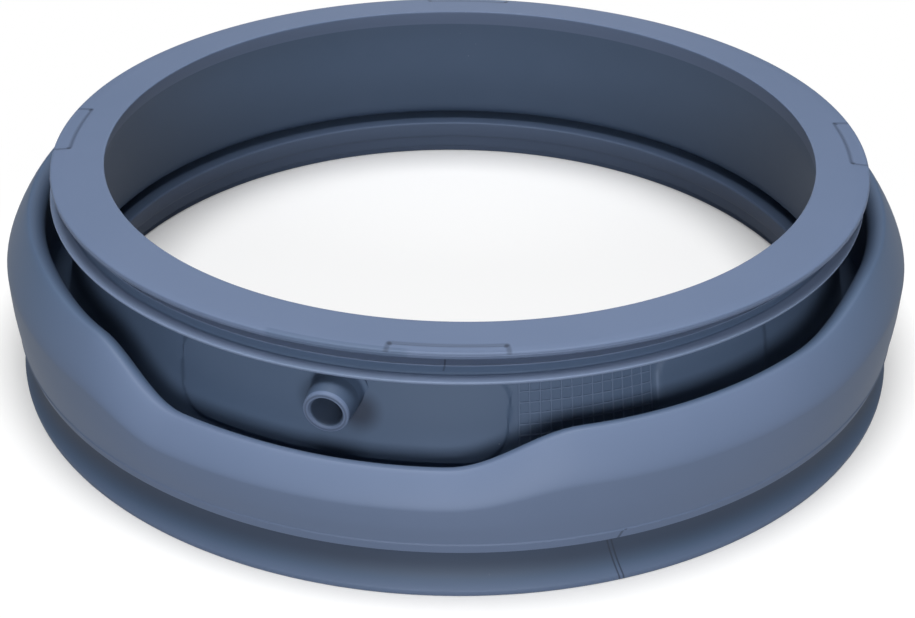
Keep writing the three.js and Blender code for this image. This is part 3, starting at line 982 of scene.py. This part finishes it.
def painted_light_level(tree, turn, radius, height):
    """Painted light level: 1 on the flange, the lip, the nozzle's mouth and the bulge, falling to 0
    in the recesses between them, and below 0 for painted shade on the crest, under the band and on
    the stub."""
    # Painted light on the flange, the lip, the leg, the nozzle's mouth and the bulge, and on the
    # skirt towards its foot
    flange_part = tree.ramp(height, *FLANGE_HEIGHTS)
    lip_part = tree.ramp(radius, *LIP_RADII) * tree.ramp(height, *LIP_HEIGHTS)
    leg_part = tree.ramp(radius, *LEG_RADII) * tree.ramp(height, *LEG_HEIGHTS) * LEG_SHARE
    off_nozzle = (turn - NOZZLE_ANGLE).math("ABSOLUTE")
    by_nozzle = tree.ramp(off_nozzle, *NEAR_NOZZLE_ANGLES) * tree.ramp(height, *NEAR_NOZZLE_HEIGHTS)
    mouth_part = between(tree, radius, *MOUTH_RADII) * by_nozzle
    above_skirt = tree.ramp(height, *BULGE_HEIGHTS)
    outer_part = largest(tree.ramp(height, *SKIRT_HEIGHTS) * SKIRT_SHARE, above_skirt)
    # Painted shade: the bulge's sides are darker than its front
    at_side = tree.ramp(turn.math("ABSOLUTE"), *SIDE_ANGLES)
    outer_part = tree.ramp(radius, *BULGE_RADII) * outer_part * (1 - at_side * SIDE_LOSS)
    lit_parts = largest(flange_part, lip_part, leg_part, mouth_part, outer_part)
    # Painted shade on the crest's inner half, under the band and on the nozzle's stub
    crest_part = between(tree, radius, *CREST_RADII) * tree.ramp(radius, *CREST_INNER_RADII)
    crest_shade = crest_part * tree.ramp(height, *CREST_SHADE_HEIGHTS) * (1 - by_nozzle)
    under_band = tree.ramp(radius, *UNDER_BAND_RADII) * tree.ramp(height, *UNDER_BAND_TOP)
    under_band = under_band * tree.ramp(height, *UNDER_BAND_FOOT)
    stub_part = by_nozzle * between(tree, radius, *STUB_RADII)
    return lit_parts - crest_shade * CREST_LOSS - under_band * UNDER_BAND_LOSS - stub_part * STUB_LOSS


# %% [markdown]
# The rubber itself
#
# Three blues are mixed: the rubber, a paler one as painted light by the light level, and a deep one
# as painted shade where that level falls below 0. Over them comes a pale blue, painted light in the
# groove and on the lip and a painted highlight along the ridges, then dust and the marks. The
# shader's own sockets hold what is the same everywhere, and the bump gives the waves and the grain.

# %% Rubber
# The pale blue is painted light, and the deep blue is painted shade and the colour of the marks
RUBBER = (0.080, 0.124, 0.208, 1)
RUBBER_PALE = (0.138, 0.187, 0.302, 1)
RUBBER_DARK = (0.018, 0.026, 0.048, 1)
DUST = (0.36, 0.42, 0.50, 1)
# Pale blue painted as light in the groove and on the lip, and as a highlight on the ridges
LIGHT_PAINT_BLUE = (0.27, 0.35, 0.52, 1)
CLOUD_SCALE, GRAIN_SCALE, WAVE_SCALE, SPECK_SCALE, PATCH_SCALE = 9, 2600, 38, 150, 22
PATCH_LIMITS = (0.58, 0.7)
SPECK_LIMITS = (0.03, 0.06)
LIGHT_LEVEL_SHARE = 0.85
CLOUD_SHARE = 0.5
SHADE_SHARE = -0.6
GROOVE_LIGHT_PAINT, LIP_LIGHT_PAINT, RIDGE_HIGHLIGHT = 0.7, 0.5, 0.26
GROOVE_LIGHT_RADII = (156, 158)
LIP_LIGHT_RADII = (165, 166)
LIP_LIGHT_EDGE = (171.5, 170.5)
LIP_LIGHT_HEIGHTS = (74.5, 78)
RIDGE_PROUD = (0.25, 1)
DUST_SHARE = 0.35
ROUGHNESS, ROUGH_GRAIN, ROUGH_CLOUDS = 0.5, 0.1, 0.06
WAVE_SHARE, GRAIN_SHARE = 0.6, 0.02
BUMP_STRENGTH, BUMP_DISTANCE = 0.25, 0.0004
SPECULAR_LEVEL = 0.35


def painted_light_share(tree, turn, radius, height):
    """Share of painted light: on the groove's back and on the lip, and a painted highlight on what
    stands proud of the wall inside the grid."""
    groove = between(tree, height, GROOVE_FLOOR, GROOVE_TOP - 1)
    groove = groove * tree.ramp(radius, *GROOVE_LIGHT_RADII)
    lip = tree.ramp(radius, *LIP_LIGHT_RADII) * tree.ramp(radius, *LIP_LIGHT_EDGE)
    lip = lip * between(tree, height, *LIP_LIGHT_HEIGHTS)
    on_grid = between(tree, turn, GRID_FIRST - 1, GRID_LAST + 1)
    on_grid = on_grid * between(tree, height, GRID_BOTTOM - 1, GRID_TOP + 1)
    ridges = between(tree, radius - wall_radius(height), *RIDGE_PROUD) * on_grid
    return largest(groove * GROOVE_LIGHT_PAINT, lip * LIP_LIGHT_PAINT, ridges * RIDGE_HIGHLIGHT)


def rubber_colour(tree, here, turn, radius, height, side, clouds):
    """Painted light and shade, then painted light on the groove, lip and ridges, dust and lines,
    laid over each other in this order.
    """
    # Painted light and shade from the light level, with random clouds
    tone = painted_light_level(tree, turn, radius, height) * LIGHT_LEVEL_SHARE + (clouds - 0.5) * CLOUD_SHARE
    colour = tree.mix(tone.math("MAXIMUM", 0), RUBBER, RUBBER_PALE)
    mouth_ring, nozzle_shadow = nozzle_line_and_shade(tree, turn, radius, height)
    # Painted shade where the light level falls below 0, with the nozzle's painted shadow and bore
    # shade
    colour = tree.mix(largest(tone * SHADE_SHARE, nozzle_shadow), colour, RUBBER_DARK)
    # Painted light in the groove and on the lip, and a painted highlight on the ridges
    colour = tree.mix(painted_light_share(tree, turn, radius, height), colour, LIGHT_PAINT_BLUE)
    dots = tree.node("ShaderNodeTexVoronoi", {}, {"Vector": here, "Scale": SPECK_SCALE})
    patches = tree.ramp(tree.noise(here, PATCH_SCALE, 2), *PATCH_LIMITS)
    specks = (1 - tree.ramp(dots, *SPECK_LIMITS)) * patches
    colour = tree.mix(specks * DUST_SHARE, colour, DUST)
    # Painted shade round the strips, then the joint's cuts, the nicks and the mouth's line
    strip_shade = strip_outline_shade(tree, turn, radius, side) * tree.ramp(height, *FLANGE_TOP_HEIGHTS)
    joint = joint_marks(tree, turn, radius, height)
    nick = collar_nick(tree, turn, radius, height)
    return tree.mix(largest(strip_shade, joint, nick, mouth_ring), colour, RUBBER_DARK)


def rubber_material():
    """Satin rubber: its colour, a roughness that varies a little, and a bump of waves and grain."""
    tree = Tree("rubber")
    here = tree.node("ShaderNodeTexCoord", output=OBJECT_PLACE)
    x, y, z = (
        tree.node("ShaderNodeSeparateXYZ", {}, {"Vector": here}, part) * (1 / MM)
        for part in range(3)
    )
    shifted = tree.ramp(z, WALL_TOP, GROOVE_TOP)
    x, y = x - shifted * FLANGE_SHIFT[0], y - shifted * FLANGE_SHIFT[1]
    radius = (x * x + y * y).math("SQRT")
    turn = x.math("ARCTAN2", y * -1) * float(np.degrees(1))
    clouds = tree.noise(here, CLOUD_SCALE, 4, 0.6)
    grain = tree.noise(here, GRAIN_SCALE, 3, 0.6)
    waves = tree.noise(here, WAVE_SCALE, 2)
    colour = rubber_colour(tree, here, turn, radius, z, x / radius, clouds)
    bump = tree.node("ShaderNodeBump", {}, {
        "Strength": BUMP_STRENGTH,
        "Distance": BUMP_DISTANCE,
        "Height": waves * WAVE_SHARE + grain * GRAIN_SHARE,
    })
    shader = tree.node("ShaderNodeBsdfPrincipled", {}, {
        "Base Color": colour,
        "Roughness": ROUGHNESS + grain * ROUGH_GRAIN + clouds * ROUGH_CLOUDS,
        "Normal": bump,
        "Specular IOR Level": SPECULAR_LEVEL,
    })
    output = tree.nodes.new("ShaderNodeOutputMaterial")
    tree.links.new(shader.socket, output.inputs["Surface"])
    return tree.material


ring.data.materials.clear()
ring.data.materials.append(rubber_material())
print("Rubber nodes:", len(ring.data.materials[0].node_tree.nodes))

# %% [markdown]
# The floor
#
# The part stands on a plain white floor. Near the part the floor is lit almost only by the lamps
# and keeps its shadow. Further out it shines more and more by itself, for the camera and in mirror
# reflections alone, and so it turns an even white without more light on the rubber.

# %% Floor
FLOOR_HALF = 12
FLOOR_WHITE = (1, 1, 1, 1)
FLOOR_GREY = (0.12, 0.12, 0.12, 1)
FLOOR_GLOW = 0.12
GLOW_FIRST, GLOW_LAST = 0.17, 0.3


def floor_material():
    """White floor. Where the camera or a mirror ray sees it, a share of it shines at the level of
    white: a small one near the part, and all of it from 0.3 metres off the axis."""
    tree = Tree("floor")
    path = tree.nodes.new("ShaderNodeLightPath")
    seen = largest(*(
        Value(tree, path.outputs[f"Is {kind} Ray"]) for kind in ("Camera", "Glossy", "Transmission")
    ))
    colour = tree.mix(seen, FLOOR_GREY, FLOOR_WHITE)
    lit = tree.node("ShaderNodeBsdfDiffuse", {}, {"Color": colour})
    glow = tree.node("ShaderNodeEmission", {}, {"Color": FLOOR_WHITE, "Strength": 1.0})
    here = tree.node("ShaderNodeTexCoord", output=OBJECT_PLACE)
    x, y = (tree.node("ShaderNodeSeparateXYZ", {}, {"Vector": here}, part) for part in range(2))
    away = tree.ramp((x * x + y * y).math("SQRT"), GLOW_FIRST, GLOW_LAST)
    share = away * (1 - FLOOR_GLOW) + FLOOR_GLOW
    shader = tree.node("ShaderNodeMixShader", {}, {0: seen * share, 1: lit, 2: glow})
    output = tree.nodes.new("ShaderNodeOutputMaterial")
    tree.links.new(shader.socket, output.inputs["Surface"])
    return tree.material


floor_mesh = bpy.data.meshes.new("floor")
floor_corners = FLOOR_HALF * np.array([(-1, -1, 0), (1, -1, 0), (1, 1, 0), (-1, 1, 0)])
floor_mesh.from_pydata(floor_corners.tolist(), [], [(0, 1, 2, 3)])
floor = bpy.data.objects.new("floor", floor_mesh)
bpy.context.scene.collection.objects.link(floor)
floor_mesh.materials.append(floor_material())
print("Floor:", 2 * FLOOR_HALF, "metres wide")

# %% [markdown]
# The light
#
# A wide lamp overhead lights the flange and the bulge, as a studio's ceiling does. A weaker one in
# front fills the wall and the skirt, and one behind only lifts the far side out of the dark. The
# world adds a little light from everywhere, which keeps the deep trough from turning black.

# %% Lamps and world
LAMP_TARGET = (0, 0, 0.05)
LAMPS = [
    ("overhead", (0, -0.15, 1.5), 0.8, 0.8, 21),
    ("front", (0, -1.6, 0.5), 0.8, 0.5, 15.5),
    ("behind", (0, 1.6, 0.5), 0.8, 0.5, 2),
]
WORLD_STRENGTH = 0.08


def lamp(name, location, width, depth, power):
    """Rectangular area lamp that looks at the target."""
    light = bpy.data.lights.new(name, "AREA")
    light.shape = "RECTANGLE"
    light.size = width
    light.size_y = depth
    light.energy = power
    made = bpy.data.objects.new(name, light)
    bpy.context.scene.collection.objects.link(made)
    aim = (Vector(LAMP_TARGET) - Vector(location)).to_track_quat("-Z", "Y")
    made.matrix_world = Matrix.Translation(location) @ aim.to_matrix().to_4x4()


for name, location, width, depth, power in LAMPS:
    lamp(name, location, width, depth, power)

world = bpy.data.worlds.new("world")
bpy.context.scene.world = world
world.use_nodes = True
background = world.node_tree.nodes["Background"]
background.inputs["Color"].default_value = (1, 1, 1, 1)
background.inputs["Strength"].default_value = WORLD_STRENGTH
print("Lamps:", len(LAMPS), "with", sum(entry[-1] for entry in LAMPS), "watts in all")
